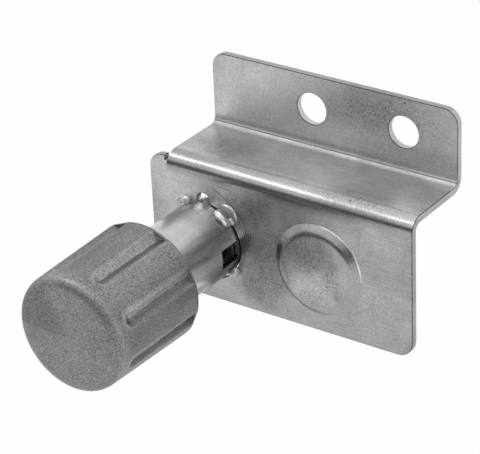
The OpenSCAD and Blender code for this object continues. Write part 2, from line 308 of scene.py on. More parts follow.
tree, given, result = new_group("soft_patch", ("Vector", "Centre", "Reach"), ("Raggedness",), ("Mask",))
patch_group = tree
away = vector_calc(tree, "SUBTRACT", given[0], given[1])
away = vector_calc(tree, "LENGTH", vector_calc(tree, "DIVIDE", away, given[2]))
ragged = calc(tree, "SUBTRACT", noise_at(tree, given[0], 160.0, 4.0, 0.6), 0.5)
away = calc(tree, "MULTIPLY_ADD", ragged, given[3], away)
tree.links.new(remap(tree, away, 0.2, 1.0, 1.0, 0.0, "SMOOTHSTEP"), result.inputs[0])

tree, given, result = new_group(
    "scratch_mark", ("Vector", "Start", "Way"), ("Half Width", "Wobble"), ("Mask",),
)
mark_group = tree
wavy = put(tree, "ShaderNodeTexNoise", {"Vector": given[0], "Scale": 700.0, "Detail": 3.0})
wavy = vector_calc(tree, "SUBTRACT", wavy.outputs["Color"], (0.5, 0.5, 0.5))
wavy = vector_calc(tree, "ADD", given[0], vector_calc(tree, "SCALE", wavy, scale=given[4]))
from_start = vector_calc(tree, "SUBTRACT", wavy, given[1])
along = vector_calc(tree, "DOT_PRODUCT", from_start, given[2])
whole = vector_calc(tree, "DOT_PRODUCT", given[2], given[2])
along = remap(tree, calc(tree, "DIVIDE", along, whole), 0.0, 1.0)
nearest = vector_calc(tree, "SCALE", given[2], scale=along)
off = vector_calc(tree, "LENGTH", vector_calc(tree, "SUBTRACT", from_start, nearest))
taper = remap(tree, gap_to(tree, along, 0.5), 0.2, 0.5, 1.0, 0.3)
off = calc(tree, "DIVIDE", off, product(tree, given[3], taper))
tree.links.new(remap(tree, off, 0.3, 1.0, 1.0, 0.0), result.inputs[0])


# Bracket: one steel sheet, laser cut and bent twice, with a pressed boss, zinc-plated in a drum,
# which dulls and scratches it. Its shape is the CAD bracket's, with the cut edges broken.
def merged_copy(node):
    """The CAD node's triangles as one closed skin, with flat faces made whole again."""
    shape = bmesh.new()
    shape.from_mesh(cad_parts[node].data)
    bmesh.ops.remove_doubles(shape, verts=shape.verts, dist=2e-6)
    bmesh.ops.dissolve_limit(shape, angle_limit=math.radians(0.4), verts=shape.verts, edges=shape.edges)
    return shape


def break_edges(shape, width, above=math.radians(38), kept=(), clamp=True):
    """Bevels the sharp edges, but for the kept ones, and marks the new faces in the arris attribute."""
    arris = shape.loops.layers.float_color.new("arris")
    kept = set(kept)
    sharp = [
        e for e in shape.edges
        if len(e.link_faces) == 2 and e.calc_face_angle(0) > above and e not in kept
    ]
    made = bmesh.ops.bevel(
        shape, geom=sharp, offset=width, offset_type="OFFSET", segments=2,
        profile=0.5, affect="EDGES", clamp_overlap=clamp, material=-1,
    )
    for face in shape.faces:
        for corner in face.loops:
            corner[arris] = (0, 0, 0, 1)
    for face in made["faces"]:
        for corner in face.loops:
            corner[arris] = (1, 1, 1, 1)


def finish_smooth(piece, angle=math.radians(30)):
    """Smooth shading that keeps flat faces flat and hard edges hard."""
    for face in piece.data.polygons:
        face.use_smooth = True
    piece.data.set_sharp_from_angle(angle=angle)
    weighted = piece.modifiers.new("even_shading", "WEIGHTED_NORMAL")
    weighted.keep_sharp = True
    weighted.weight = 80


bush_low, bush_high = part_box("guide_bush")
axis_x = (bush_low.x + bush_high.x) / 2
axis_z = (bush_low.z + bush_high.z) / 2
edge_break = 0.2 * MM
tube_hole_reach = 12.5 * MM
bolt_hole_x, bolt_hole_reach = 14 * MM, 4.8 * MM
relief_left, relief_right, relief_back = -46 * MM, -45 * MM, -19 * MM
ear_right, cut_top, cut_bottom = -45.8 * MM, 5 * MM, -45 * MM
plate_y = -24.5 * MM
boss_x, boss_z = axis_x + 35.9 * MM, axis_z + 1.0 * MM
boss_foot_r, boss_top_r, boss_rise, boss_rounding = 13.15 * MM, 9.9 * MM, 1.6 * MM, 0.5
bracket_shape = merged_copy("bracket")


def boss_height(r):
    """Rise of the boss at one radius: a flat top, a rounded edge and a straight slope."""
    u = max(0.0, (r - boss_top_r) / (boss_foot_r - boss_top_r))
    slope = boss_rise / (1 - boss_rounding / 2)
    if u < boss_rounding:
        return boss_rise - slope * u * u / (2 * boss_rounding)
    return boss_rise - slope * (u - boss_rounding / 2)


def off_boss(vert):
    """Distance of a vertex from the boss's axis."""
    return math.hypot(vert.co.x - boss_x, vert.co.z - boss_z)


in_plane, past_foot = 0.05 * MM, 0.1 * MM
coarse = []
for face in bracket_shape.faces:
    in_front = all(v.co.y < plate_y + in_plane for v in face.verts)
    if in_front and all(off_boss(v) < boss_foot_r + past_foot for v in face.verts):
        coarse.append(face)
bmesh.ops.delete(bracket_shape, geom=coarse, context="FACES")
foot = [v for v in bracket_shape.verts if any(e.is_boundary for e in v.link_edges)]
foot.sort(key=lambda v: math.atan2(v.co.z - boss_z, v.co.x - boss_x))
outer_ring = foot
boss_stations = (13.05, 12.8, 12.4, 12.0, 11.6, 11.3, 11.0, 10.7, 10.4, 10.1, 9.8, 9.5, 7.0)
for r in boss_stations:
    r *= MM
    next_ring = []
    for vert in foot:
        turn = math.atan2(vert.co.z - boss_z, vert.co.x - boss_x)
        next_ring.append(bracket_shape.verts.new((
            boss_x + r * math.cos(turn), plate_y - boss_height(r), boss_z + r * math.sin(turn),
        )))
    for i in range(len(foot)):
        k = (i + 1) % len(foot)
        bracket_shape.faces.new((outer_ring[i], outer_ring[k], next_ring[k], next_ring[i]))
    outer_ring = next_ring
bracket_shape.faces.new(outer_ring)
bmesh.ops.recalc_face_normals(bracket_shape, faces=bracket_shape.faces)
kept_sharp = []
for edge in bracket_shape.edges:
    in_hole = all(math.hypot(v.co.x - axis_x, v.co.z - axis_z) < tube_hole_reach for v in edge.verts)
    at_relief = all(relief_left < v.co.x < relief_right and v.co.y < relief_back for v in edge.verts)
    if in_hole or at_relief:
        kept_sharp.append(edge)
break_edges(bracket_shape, edge_break, kept=kept_sharp, clamp=False)
cut_edge = bracket_shape.loops.layers.float_color.new("cut_edge")
for face in bracket_shape.faces:
    at = face.calc_center_median()
    sideways = abs(face.normal.x) > 0.5
    at_end = sideways or at.z > cut_top or at.z < cut_bottom or at.x < ear_right
    in_hole = math.hypot(abs(at.x) - bolt_hole_x, at.z) < bolt_hole_reach
    share = 0.0
    # Painted shade: the sideways cut faces get a smaller share than the top and bottom ones.
    if abs(face.normal.y) < 0.3 and at_end and not in_hole:
        share = 0.3 if sideways else 1.0
    for corner in face.loops:
        corner[cut_edge] = (share, share, share, 1)
bracket = new_object("bent_bracket", bracket_shape)
finish_smooth(bracket)


def start_material(name):
    """A material, its tree and output, the place on the piece, and that place's x, y and z in mm."""
    made, tree, output = new_material(name)
    place = put(tree, "ShaderNodeTexCoord").outputs["Object"]
    apart = put(tree, "ShaderNodeSeparateXYZ", {0: vector_calc(tree, "SCALE", place, scale=1 / MM)})
    return made, tree, output, place, tuple(apart.outputs)


def finish_material(tree, output, base, metallic, rough, height, strength, relief):
    """Ends a material in a principled shader, with a bump of that strength and that relief in mm."""
    bump = put(tree, "ShaderNodeBump", {"Strength": strength, "Distance": relief * MM, "Height": height})
    skin = put(tree, "ShaderNodeBsdfPrincipled", {
        "Base Color": base, "Metallic": metallic, "Roughness": rough, "Normal": bump.outputs[0],
    })
    tree.links.new(skin.outputs[0], output.inputs[0])


def mix(tree, share, low, high):
    """One colour laid over another by a share."""
    return put(tree, "ShaderNodeMix", {0: share, 6: low, 7: high}, data_type="RGBA").outputs[2]


def grey(value, warmth=0.0):
    """A nearly neutral colour, a little blue below nought and a little warm above it."""
    return (value * (1 + warmth), value, value * (1 - warmth), 1)


def tint(tree, base, mask, share, value, warmth=0.0):
    """A colour with a grey laid over it by a share of a mask."""
    return mix(tree, calc(tree, "MULTIPLY", mask, share), base, grey(value, warmth))


def within(tree, *ranges):
    """The product of masks, each given by what remap takes."""
    return product(tree, *(remap(tree, *one) for one in ranges))


def away_from(tree, x, z, at_x, at_z):
    """Distance in mm from a line that runs straight back."""
    across = calc(tree, "POWER", calc(tree, "SUBTRACT", x, at_x), 2.0)
    up = calc(tree, "POWER", calc(tree, "SUBTRACT", z, at_z), 2.0)
    return calc(tree, "SQRT", calc(tree, "ADD", across, up))


def attribute(tree, name):
    """A number that the shape's code left on the mesh."""
    return put(tree, "ShaderNodeAttribute", attribute_name=name).outputs["Fac"]


def add_patches(tree, mask, place, patches):
    """The greater of a mask and soft patches, each a centre and reach in mm and a strength."""
    for centre, reach, strength in patches:
        spot = use_group(tree, patch_group, place, Vector(centre) * MM, Vector(reach) * MM, 0.9)[0]
        mask = calc(tree, "MAXIMUM", mask, product(tree, spot, strength))
    return mask


def add_marks(tree, mask, place, marks, wobble, axes):
    """The greater of a mask and scratches, each a start, a way and a half width, in mm on those axes."""
    for start, way, half in marks:
        start, way = axes @ Vector(start), axes.to_3x3() @ Vector(way)
        mark = use_group(tree, mark_group, place, start, way, half * MM, wobble * MM)[0]
        mask = calc(tree, "MAXIMUM", mask, mark)
    return mask


# Faces of the bracket in mm, on which the patches and scratches lie.
flange, web, plate, boss_top = -2, -11.1, -24.5, -26
axis_right, axis_up = axis_x / MM, axis_z / MM
sheet_plating, tree, output, place, (x, y, z) = start_material("drum_plated_sheet")
cloud, grain = use_group(tree, cloud_group, place, 90.0, 2600.0, 0.5)
rolled = noise_at(tree, stretched(tree, place, (0.12, 1.0, 1.0)), 1900.0, 3.0, 0.65)
tone = calc(tree, "MULTIPLY_ADD", calc(tree, "SUBTRACT", rolled, 0.5), 0.45, cloud)
base = mix(tree, remap(tree, tone, 0.25, 0.75), grey(0.36, -0.012), grey(0.54, -0.012))

# The bend's outside and the boss's slope are burnished by the press tool, and the flats stay dull.
burnished_and_shaded = within(tree, (z, -16.6, -15.2), (y, -19.4, -20.8), (x, -45.7, -45.3))
boss_away = away_from(tree, x, z, boss_x / MM, boss_z / MM)
on_slope = within(tree, (boss_away, 9.6, 10.4), (boss_away, 13.3, 13.1), (y, -24.4, -24.5))
burnished_and_shaded = calc(tree, "MAXIMUM", burnished_and_shaded, on_slope)

# The plating is darker where the drum wore it and towards the plate's bottom, and lighter in other
# patches. Some of the darker patches are painted dark reflection, and some of the lighter ones, with
# the strip at the rear bend's foot, are painted highlight.
worn_and_dark_reflection = add_patches(tree, 0.0, place, (
    ((5, flange, 3), (18, 9, 10), 0.5), ((14, flange, -7), (22, 9, 8), 0.3),
    ((-20, plate, -22), (14, 9, 8), 0.9), ((-14, plate, -36), (12, 9, 17), 0.95),
    ((-2, boss_top, -28), (12, 9, 10), 1.0), ((12, -22, -13), (18, 7, 5), 0.9),
    ((-9.5, plate, -32), (7, 9, 10), 1.0), ((-33, -14, -11), (13, 9, 4), 0.7),
    ((-19, plate, -43.5), (8, 9, 7), 1.0),
))
fresh_and_highlight = add_patches(tree, within(tree, (y, -6, -3), (z, -9.4, -8.2)), place, (
    ((-42, plate, -18), (17, 9, 13), 0.9), ((-6, -14, -11), (26, 9, 4), 0.5),
    ((-28, plate, -16), (12, 9, 7), 1.0),
))
# Lighter plating, and painted highlight.
base = tint(tree, base, fresh_and_highlight, 0.42, 0.75, -0.01)
# Darker towards the plate's bottom.
base = tint(tree, base, remap(tree, z, -38, -50), 0.3, 0.25)
# Drum wear, and painted dark reflection.
base = tint(tree, base, product(tree, worn_and_dark_reflection, remap(tree, grain, 0.38, 0.62, 0.45, 1.0)), 0.7, 0.17)
# Painted highlight: a light strip on the web along the front bend.
painted_bend_highlight = within(tree, (y, -18, -20.3), (z, -12.0, -11.6), (x, -40, 20, 0.3, 1.0))
base = tint(tree, base, painted_bend_highlight, 0.6, 0.8)
# Painted shade: the burnished bend and boss slope are darker, the bend most at its left end, to hold down
# the highlight there.
base = tint(tree, base, burnished_and_shaded, remap(tree, x, -45, -5, 0.75, 0.45), 0.3)

# Fine scratches, specks all over, finer ones and pits where it is worn, and a granular skin.
base = tint(tree, base, use_group(tree, scratch_group, place, 220.0)[0], 0.35, 0.2)
all_over = use_group(tree, speck_group, place, 700.0, 0.1, 0.1)[0]
gathered = use_group(tree, speck_group, place, 3600.0, 0.4, 0.4)[0]
specks = calc(tree, "MAXIMUM", product(tree, all_over, 0.7), product(tree, gathered, worn_and_dark_reflection, 0.65))
base = tint(tree, base, specks, 1.0, 0.07)
pitted = add_patches(tree, worn_and_dark_reflection, place, (
    ((9, flange, 3), (24, 9, 11), 1.0), ((6.5, boss_top, -36), (5, 9, 8), 1.0),
    ((2, boss_top, -41), (8, 9, 5), 0.8), ((20, plate, -38), (9, 9, 8), 0.5),
))
pits = remap(tree, noise_at(tree, place, 1500.0, 4.0, 0.75, 1.0), 0.53, 0.58)
base = tint(tree, base, product(tree, pits, pitted), 0.75, 0.12)
granular = remap(tree, noise_at(tree, place, 3200.0, 3.0, 0.8), 0.3, 0.7, 0.72, 1.28)
base = vector_calc(tree, "SCALE", base, scale=granular)

# Painted highlight: a thin bright line along the boss's foot, at its upper right.
upper_right = calc(tree, "SUBTRACT", calc(tree, "ADD", x, z), (boss_x + boss_z) / MM)
painted_foot_highlight = within(tree, (gap_to(tree, boss_away, 13.02), 0.25, 0.08), (upper_right, 12.5, 15.5))
base = tint(tree, base, painted_foot_highlight, 0.75, 0.95)

# A turned mark round the tube, left by the welding fixture, and a few single scratches.
ring_away = gap_to(tree, away_from(tree, x, z, axis_right - 4.37, axis_up - 3.6), 20.98)
ring_line = within(
    tree, (ring_away, 0.03, 0.16, 1.0, 0.0), (x, axis_right + 1.5, axis_right + 4),
    (z, axis_up + 7, axis_up + 9), (y, -24.1, -24.4),
)
marks = add_marks(tree, ring_line, place, (
    ((-20.9, plate, -26.2), (0.5, 0, -4.0), 0.18), ((-20.1, plate, -27.4), (0.3, 0, -3.6), 0.17),
    ((-21.6, plate, -27.6), (0.6, 0, -3.0), 0.16), ((-19.3, plate, -27.8), (0.1, 0, -2.4), 0.14),
    ((-30, plate, -16.6), (5, 0, -0.5), 0.14), ((-13.4, plate, -18.4), (1.4, 0, -0.9), 0.13),
    ((-15.6, plate, -19.2), (1.0, 0, 0.9), 0.1), ((11, plate, -44), (6, 0, 3.5), 0.05),
    ((-38, flange, 3), (4, 0, -2), 0.05), ((-30, -15, web), (22, 2.5, 0), 0.06),
    ((4, -9, web), (16, -1.5, 0), 0.05),
), 0.3, Matrix.Scale(MM, 4))
base = tint(tree, base, marks, 0.85, 0.04)

# The sheared edges are painted darker as shade, the top and bottom ones more than the sideways
# ones; every broken edge is darker; and the seam round the tube's hole is painted near black as shade.
sheared_edge_shade = attribute(tree, "cut_edge")
base = tint(tree, base, sheared_edge_shade, 0.55, 0.26)
base = tint(tree, base, attribute(tree, "arris"), remap(tree, grain, 0.35, 0.6, 0.45, 1.0), 0.04)
hole_away = away_from(tree, x, z, axis_right + 0.15, axis_up - 0.15)
# Painted shade: the gap round the tube's hole, on its right, is near black.
painted_gap_shade = within(tree, (hole_away, 11.55, 11.4), (x, axis_right + 1, axis_right + 4))
base = tint(tree, base, painted_gap_shade, 1.0, 0.006)

# Painted highlight: the rear bend is brighter to the right, under a thin dark line.
in_rear_bend = within(tree, (z, -8.0, -9.2), (y, -6.5, -4.5))
base = tint(tree, base, in_rear_bend, remap(tree, x, 5, 25, 0.0, 0.22), 0.9)
rear_bend_dark_line = within(tree, (gap_to(tree, z, -10.35), 0.18, 0.07), (y, -5, -4), (cloud, 0.4, 0.55, 0.65, 0.9))
base = tint(tree, base, rear_bend_dark_line, 1.0, 0.08)
dull = remap(tree, cloud, 0.3, 0.7, 0.42, 0.33)
rough = put(tree, "ShaderNodeMix", {0: burnished_and_shaded, 2: dull, 3: 0.25}, data_type="FLOAT").outputs[0]
rough = calc(tree, "MULTIPLY_ADD", in_rear_bend, 0.14, rough)
rough = calc(tree, "MULTIPLY_ADD", worn_and_dark_reflection, 0.06, rough)
rough = calc(tree, "MAXIMUM", rough, product(tree, painted_gap_shade, 0.9))
rough = calc(tree, "MULTIPLY_ADD", sheared_edge_shade, 0.12, rough)
rough = calc(tree, "MULTIPLY_ADD", calc(tree, "SUBTRACT", grain, 0.5), 0.1, rough)
finish_material(tree, output, base, 0.95, rough, calc(tree, "MULTIPLY_ADD", rolled, 0.8, grain), 0.2, 0.04)
bracket.data.materials.append(sheet_plating)
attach(bracket, "housing")
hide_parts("bracket")


# The tube's axis, from which every round piece is measured: right, up, and forward from the
# front plate's face.
on_axis = Matrix.Translation((axis_x, plate_y, axis_z))
on_axis = on_axis @ Matrix.Rotation(math.radians(90), 4, "X") @ Matrix.Scale(MM, 4)


def spun(shape, geometry, angle, steps, merge=False, rise=0.0):
    """Spins geometry about the axis, rising at each step, and gives its last copy."""
    made = bmesh.ops.spin(
        shape, geom=geometry, cent=(0, 0, 0), axis=(0, 0, 1), dvec=(0, 0, rise), angle=angle,
        steps=steps, use_merge=merge, use_normal_flip=False, use_duplicate=False,
    )
    return made["geom_last"]


def turned(profile, steps):
    """Spins a closed profile of radius and height points, in mm, about the axis. It stays in mm."""
    shape = bmesh.new()
    verts = [shape.verts.new((r, 0, h)) for r, h in profile]
    edges = [shape.edges.new(pair) for pair in zip(verts, verts[1:] + verts[:1])]
    spun(shape, verts + edges, math.tau, steps, merge=True)
    bmesh.ops.remove_doubles(shape, verts=shape.verts, dist=1e-4)
    bmesh.ops.recalc_face_normals(shape, faces=shape.faces)
    return shape


# Housing tube: drawn steel tube, 22 mm over a 1 mm wall, with two windows milled at its plate end,
# a key nib pressed out at its top, and a groove turned in its bore. It is zinc-plated and smooth.
tube_r = 11.0
bore_r = 10.0
tube_back = -1.6
tube_front = 34.5
groove_low, groove_high, groove_depth = 8.2, 9.2, 0.4
window_half, window_low, window_high = 2.75, 0.3, 7.5
nib_half, nib_rise, nib_end = 1.8, 1.0, 3.5
nib_soft, nib_run_out, top_side = 0.15, 3.4, 8


def in_steps(low, high, step):
    """Evenly spaced values from low to high, no further apart than step."""
    count = max(1, math.ceil((high - low) / step))
    return [low + (high - low) * i / count for i in range(count + 1)]


outer = [(tube_r, h) for h in in_steps(tube_back, nib_end + 1, 0.3)]
outer += [(tube_r, h) for h in in_steps(nib_end + 1, tube_front, 1.5)[1:]]
inner = [(bore_r, h) for h in in_steps(tube_back, nib_end + 1, 0.3)]
inner += [(bore_r, groove_low), (bore_r + groove_depth, groove_low)]
inner += [(bore_r + groove_depth, groove_high), (bore_r, groove_high), (bore_r, tube_front)]
tube_shape = turned(outer + inner[::-1], 180)
across, forward = (0, 1, 0), (0, 0, 1)
window_sides = (
    (across, window_half), (across, -window_half), (forward, window_low), (forward, window_high),
)
for normal, at in window_sides:
    bmesh.ops.bisect_plane(
        tube_shape, geom=tube_shape.verts[:] + tube_shape.edges[:] + tube_shape.faces[:],
        dist=1e-4, plane_co=Vector(normal) * at, plane_no=normal,
    )
for side in (-1, 1):
    waste = []
    for face in tube_shape.faces:
        middle = face.calc_center_median()
        if middle.x * side > 0 and abs(middle.y) < window_half and window_low < middle.z < window_high:
            waste.append(face)
    gone = set(waste)
    rims = [e for e in tube_shape.edges if sum(f in gone for f in e.link_faces) == 1]
    bmesh.ops.delete(tube_shape, geom=waste, context="FACES")
    bmesh.ops.bridge_loops(tube_shape, edges=[e for e in rims if e.is_valid])
nib_r = (nib_half ** 2 + nib_rise ** 2) / (2 * nib_rise)
nib_middle = tube_r + nib_rise - nib_r
for vert in tube_shape.verts:
    radius = math.hypot(vert.co.x, vert.co.y)
    if vert.co.y < top_side or abs(vert.co.x) > nib_half:
        continue
    past = max(0.0, vert.co.z - (nib_end - nib_half))
    room = nib_r ** 2 - vert.co.x ** 2 - 0.5 * past ** 2
    if room <= 0:
        continue
    top = nib_middle + math.sqrt(room)
    lift = top - math.sqrt(tube_r ** 2 - vert.co.x ** 2)
    left = max(0.0, 1 - past / nib_run_out)
    vert.co.y += (lift + math.sqrt(lift ** 2 + nib_soft ** 2)) / 2 * left * left * (3 - 2 * left)
bmesh.ops.recalc_face_normals(tube_shape, faces=tube_shape.faces)
break_edges(tube_shape, 0.15, math.radians(50))
bmesh.ops.transform(tube_shape, matrix=on_axis, verts=tube_shape.verts)
tube = new_object("drawn_tube", tube_shape)
finish_smooth(tube)


def angle_on_axis(tree, x, z):
    """Angle round the tube's axis in radians, from the right and upwards."""
    return calc(tree, "ARCTAN2", calc(tree, "SUBTRACT", z, axis_up), calc(tree, "SUBTRACT", x, axis_right))


tube_plating, tree, output, place, (x, y, z) = start_material("smooth_plated_tube")
cloud = use_group(tree, cloud_group, place, 120.0, 3500.0, 0.15)[0]
lines = noise_at(tree, stretched(tree, place, (1.0, 0.04, 1.0)), 1400.0, 3.0, 0.6)
base = mix(tree, remap(tree, cloud, 0.3, 0.72), grey(0.5, -0.01), grey(0.66, -0.01))

# Painted reflections: a dark band along the upper right that widens to the front, a painted
# highlight below it, and painted shade over the lower half.
round_at = angle_on_axis(tree, x, z)
reflection_band_wide = remap(tree, y, -33, -50, 0.02, 0.24)
reflection_band_away = calc(tree, "DIVIDE", gap_to(tree, round_at, 0.62), reflection_band_wide)
painted_reflection_band = calc(tree, "MULTIPLY_ADD", calc(tree, "SUBTRACT", cloud, 0.5), 0.8, reflection_band_away)
base = tint(tree, base, remap(tree, painted_reflection_band, 0.6, 1.5, 1.0, 0.0), 0.3, 0.2)
# Painted highlight below the band.
base = tint(tree, base, remap(tree, round_at, 0.42, 0.2), 0.85, 0.95)
# Painted shade over the lower half.
base = tint(tree, base, remap(tree, round_at, 0.0, -0.36), 0.92, 0.12)

# Painted shade over the nib's end, streaks along the tube, spots, scratches, dark edges and painted
# shade in the seam.
# Painted shade: a soft dark patch over the nib's end.
nib_middle, nib_shade_reach = on_axis @ Vector((-0.8, 11.6, 2.8)), Vector((2.2, 3.0, 1.8)) * MM
base = tint(tree, base, use_group(tree, patch_group, place, nib_middle, nib_shade_reach, 0.2)[0], 0.85, 0.16)
streaks = noise_at(tree, stretched(tree, place, (1.0, 0.02, 1.0)), 700.0, 3.0, 0.6)
base = tint(tree, base, remap(tree, streaks, 0.56, 0.7), 0.3, 0.25)
base = tint(tree, base, use_group(tree, speck_group, place, 1100.0, 0.14, 0.1)[0], 0.7, 0.08)
marks = add_marks(tree, 0.0, place, (
    ((1.2, 10.94, 14.3), (2.2, -0.5, 2.1), 0.07), ((3.4, 10.46, 16.4), (1.2, -0.5, 2.6), 0.06),
    ((1.5, 10.9, 17.8), (1.9, -0.45, -1.4), 0.05), ((8.0, 7.5, 9.0), (-1.0, 1.0, 5.0), 0.04),
    ((10.8, 2.0, 12.0), (0.0, -0.6, 6.0), 0.04),
), 1.4, on_axis)
base = tint(tree, base, marks, 0.6, 0.08)
base = tint(tree, base, attribute(tree, "arris"), 0.4, 0.15)
# Painted shade: near black where the tube runs into the plate's hole, on the right.
painted_gap_shade = within(tree, (y, -24.6, -24.2), (x, axis_right, axis_right + 3))
base = tint(tree, base, painted_gap_shade, 1.0, 0.006)
rough = calc(tree, "MAXIMUM", remap(tree, lines, 0.3, 0.7, 0.2, 0.32), product(tree, painted_gap_shade, 0.9))
finish_material(tree, output, base, 1.0, rough, lines, 0.1, 0.03)
tube.data.materials.append(tube_plating)
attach(tube, "housing")
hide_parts("housing_tube")


# Tack welds: four short beads of shiny weld metal that bridge the gap between tube and plate. The
# largest has a rippled drop on the tube and a crescent where it ran out on the plate.
def beside_tube(swing, radius, height):
    """The place at an angle in radians and at a radius and a height in mm on the tube's axes."""
    return on_axis @ Vector((radius * math.cos(swing), radius * math.sin(swing), height))


def hold(value, low, high):
    """A number's place between two others, held from 0 to 1."""
    return max(0.0, min(1.0, (value - low) / (high - low)))


def ball(seed, coarseness, unevenness):
    """A ball and, for each vertex, its direction and how far it is pushed out or in."""
    shape = bmesh.new()
    bmesh.ops.create_icosphere(shape, subdivisions=5, radius=1.0)
    shape.verts.layers.float.new("toe")
    rows = []
    for vert in shape.verts:
        way = vert.co.normalized()
        rows.append((vert, way, 1 + unevenness * noise.noise(way * coarseness + Vector((seed, 0, 0)))))
    return shape, rows


def weld_drop(angle, out, forward, half_long, half_tall, thick, ripples, roughness, seed):
    """A lens of frozen metal: along the seam, up the tube and out from it, in mm."""
    shape, rows = ball(seed, 2.2, roughness)
    toe = shape.verts.layers.float["toe"]
    for vert, (along, up, off), rough in rows:
        vert[toe] = 1 - hold(off, 0.1, 0.5)
        share = math.hypot(along, up)
        ring = ripples * math.cos(share * 19) * hold(share, 0.4, 0.7) * max(0.0, off)
        swing = math.radians(angle) + along * half_long * rough / tube_r
        radius = tube_r + out + off * thick * rough + ring
        vert.co = beside_tube(swing, radius, forward + up * half_tall * rough)
    return shape


def weld_crescent(angle, half_angle, radius, sag, half_wide, high, seed):
    """A curved roll on the plate round part of the tube, thin at both ends, in degrees and mm."""
    shape, rows = ball(seed, 3.0, 0.2)
    for vert, (along, across, up), rough in rows:
        swing = math.radians(angle + along * half_angle)
        middle = radius - sag * along * along
        vert.co = beside_tube(swing, middle + across * half_wide * rough, up * high * rough)
    return shape


# The largest bead is smoother than the others, and all are darker at the toe, the largest most.
weld_metal, tree, output, place, (x, y, z) = start_material("bright_weld")
cloud = use_group(tree, cloud_group, place, 420.0, 4200.0, 0.2)[0]
base = mix(tree, remap(tree, cloud, 0.3, 0.65), grey(0.48), (0.72, 0.72, 0.715, 1))
largest = within(tree, (x, axis_right, axis_right + 3), (z, axis_up, axis_up + 3))
base = tint(tree, base, attribute(tree, "toe"), remap(tree, largest, 0, 1, 0.2, 0.75), 0.1)
rough = remap(tree, cloud, 0.3, 0.7, 0.38, 0.26)
rough = calc(tree, "ADD", rough, remap(tree, largest, 0, 1, 0.22, 0.0))
finish_material(tree, output, base, 1.0, rough, cloud, 0.04, 0.05)

weld_shapes = {
    "shell": weld_drop(52, 0.3, 1.3, 2.9, 1.9, 1.2, 0.035, 0.1, 1.0),
    "shell_neck": weld_drop(41, 0.9, 0.3, 1.0, 0.8, 0.9, 0.0, 0.15, 2.0),
    "shell_run": weld_crescent(51, 13, 14.5, 1.2, 0.5, 0.45, 4.0),
    "left": weld_drop(116, 0.9, 0.5, 1.3, 1.1, 1.3, 0.0, 0.06, 3.0),
    "left_rough": weld_drop(127, 1.7, 0.0, 1.5, 0.6, 1.2, 0.0, 0.25, 7.0),
    "lower_left": weld_drop(208, 0.5, 0.5, 1.7, 1.5, 1.4, 0.03, 0.15, 5.0),
    "lower_right": weld_drop(325, 0.8, 0.9, 1.7, 1.45, 1.45, 0.0, 0.05, 9.0),
}
for bead, weld_shape in weld_shapes.items():
    weld_shape.normal_update()
    bmesh.ops.recalc_face_normals(weld_shape, faces=weld_shape.faces)
    weld = new_object("weld_" + bead, weld_shape)
    finish_smooth(weld, math.radians(80))
    weld.data.materials.append(weld_metal)
    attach(weld, "housing")
    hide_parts("tack_welds")


# Guide bush: sintered bronze, pressed into the tube, in whose bore the spindle slides and turns.
# It is turned, with its edges chamfered, and shows through the windows and from behind.
bush_back, bush_front, bush_bore = 9.2, 20.0, 5.05


def plain_material(name, low, high, metallic, smooth, dull, scale, relief):
    """A cloudy, grained metal or plastic between two colours and two roughnesses, its relief in mm."""
    made, tree, output, place, apart = start_material(name)
    cloud, grain = use_group(tree, cloud_group, place, scale, scale * 25, 0.3)
    base = mix(tree, remap(tree, cloud, 0.3, 0.7), (*low, 1), (*high, 1))
    rough = remap(tree, cloud, 0.3, 0.7, smooth, dull)
    finish_material(tree, output, base, metallic, rough, grain, 0.3, relief)
    return made


def place_round(name, shape, material, body, node):
    """Moves a turned shape onto the tube's axis and gives it its finish, body and place."""
    bmesh.ops.transform(shape, matrix=on_axis, verts=shape.verts)
    made = new_object(name, shape)
    finish_smooth(made, math.radians(35))
    made.data.materials.append(material)
    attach(made, body)
    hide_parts(node)
    return made


def chamfered_ring(outer_r, inner_r, low, high, chamfer, steps=96):
    """A turned ring with all four edges chamfered."""
    return turned([
        (inner_r, low + chamfer), (inner_r + chamfer, low), (outer_r - chamfer, low),
        (outer_r, low + chamfer), (outer_r, high - chamfer), (outer_r - chamfer, high),
        (inner_r + chamfer, high), (inner_r, high - chamfer),
    ], steps)


sintered_bronze = plain_material(
    "sintered_bronze", (0.36, 0.2, 0.08), (0.55, 0.34, 0.16), 1.0, 0.3, 0.5, 300.0, 0.03,
)
bush_shape = chamfered_ring(bore_r, bush_bore, bush_back, bush_front, 0.4)
place_round("guide_bush_turned", bush_shape, sintered_bronze, "housing", "guide_bush")


# Retaining ring: an open ring of hard spring steel, sprung into the groove in the tube's bore,
# where it keeps the bush from being pushed out behind.
dark_spring_steel = plain_material(
    "dark_spring_steel", (0.03, 0.03, 0.033), (0.08, 0.08, 0.083), 0.85, 0.28, 0.42, 400.0, 0.02,
)
ring_outer, ring_inner, ring_back, ring_front = 10.35, 8.65, 8.25, 9.15
ring_gap = 3.0
ring_gap_angle = 2 * math.asin(ring_gap / ring_outer)
ring_shape = bmesh.new()
corners = (
    (ring_inner, ring_back), (ring_outer, ring_back), (ring_outer, ring_front), (ring_inner, ring_front),
)
start = math.radians(-90) + ring_gap_angle / 2
verts = [ring_shape.verts.new((r * math.cos(start), r * math.sin(start), h)) for r, h in corners]
face = ring_shape.faces.new(verts)
spun(ring_shape, [face], math.tau - ring_gap_angle, 80)
bmesh.ops.recalc_face_normals(ring_shape, faces=ring_shape.faces)
break_edges(ring_shape, 0.1, math.radians(50))
place_round("sprung_ring", ring_shape, dark_spring_steel, "housing", "retaining_ring")


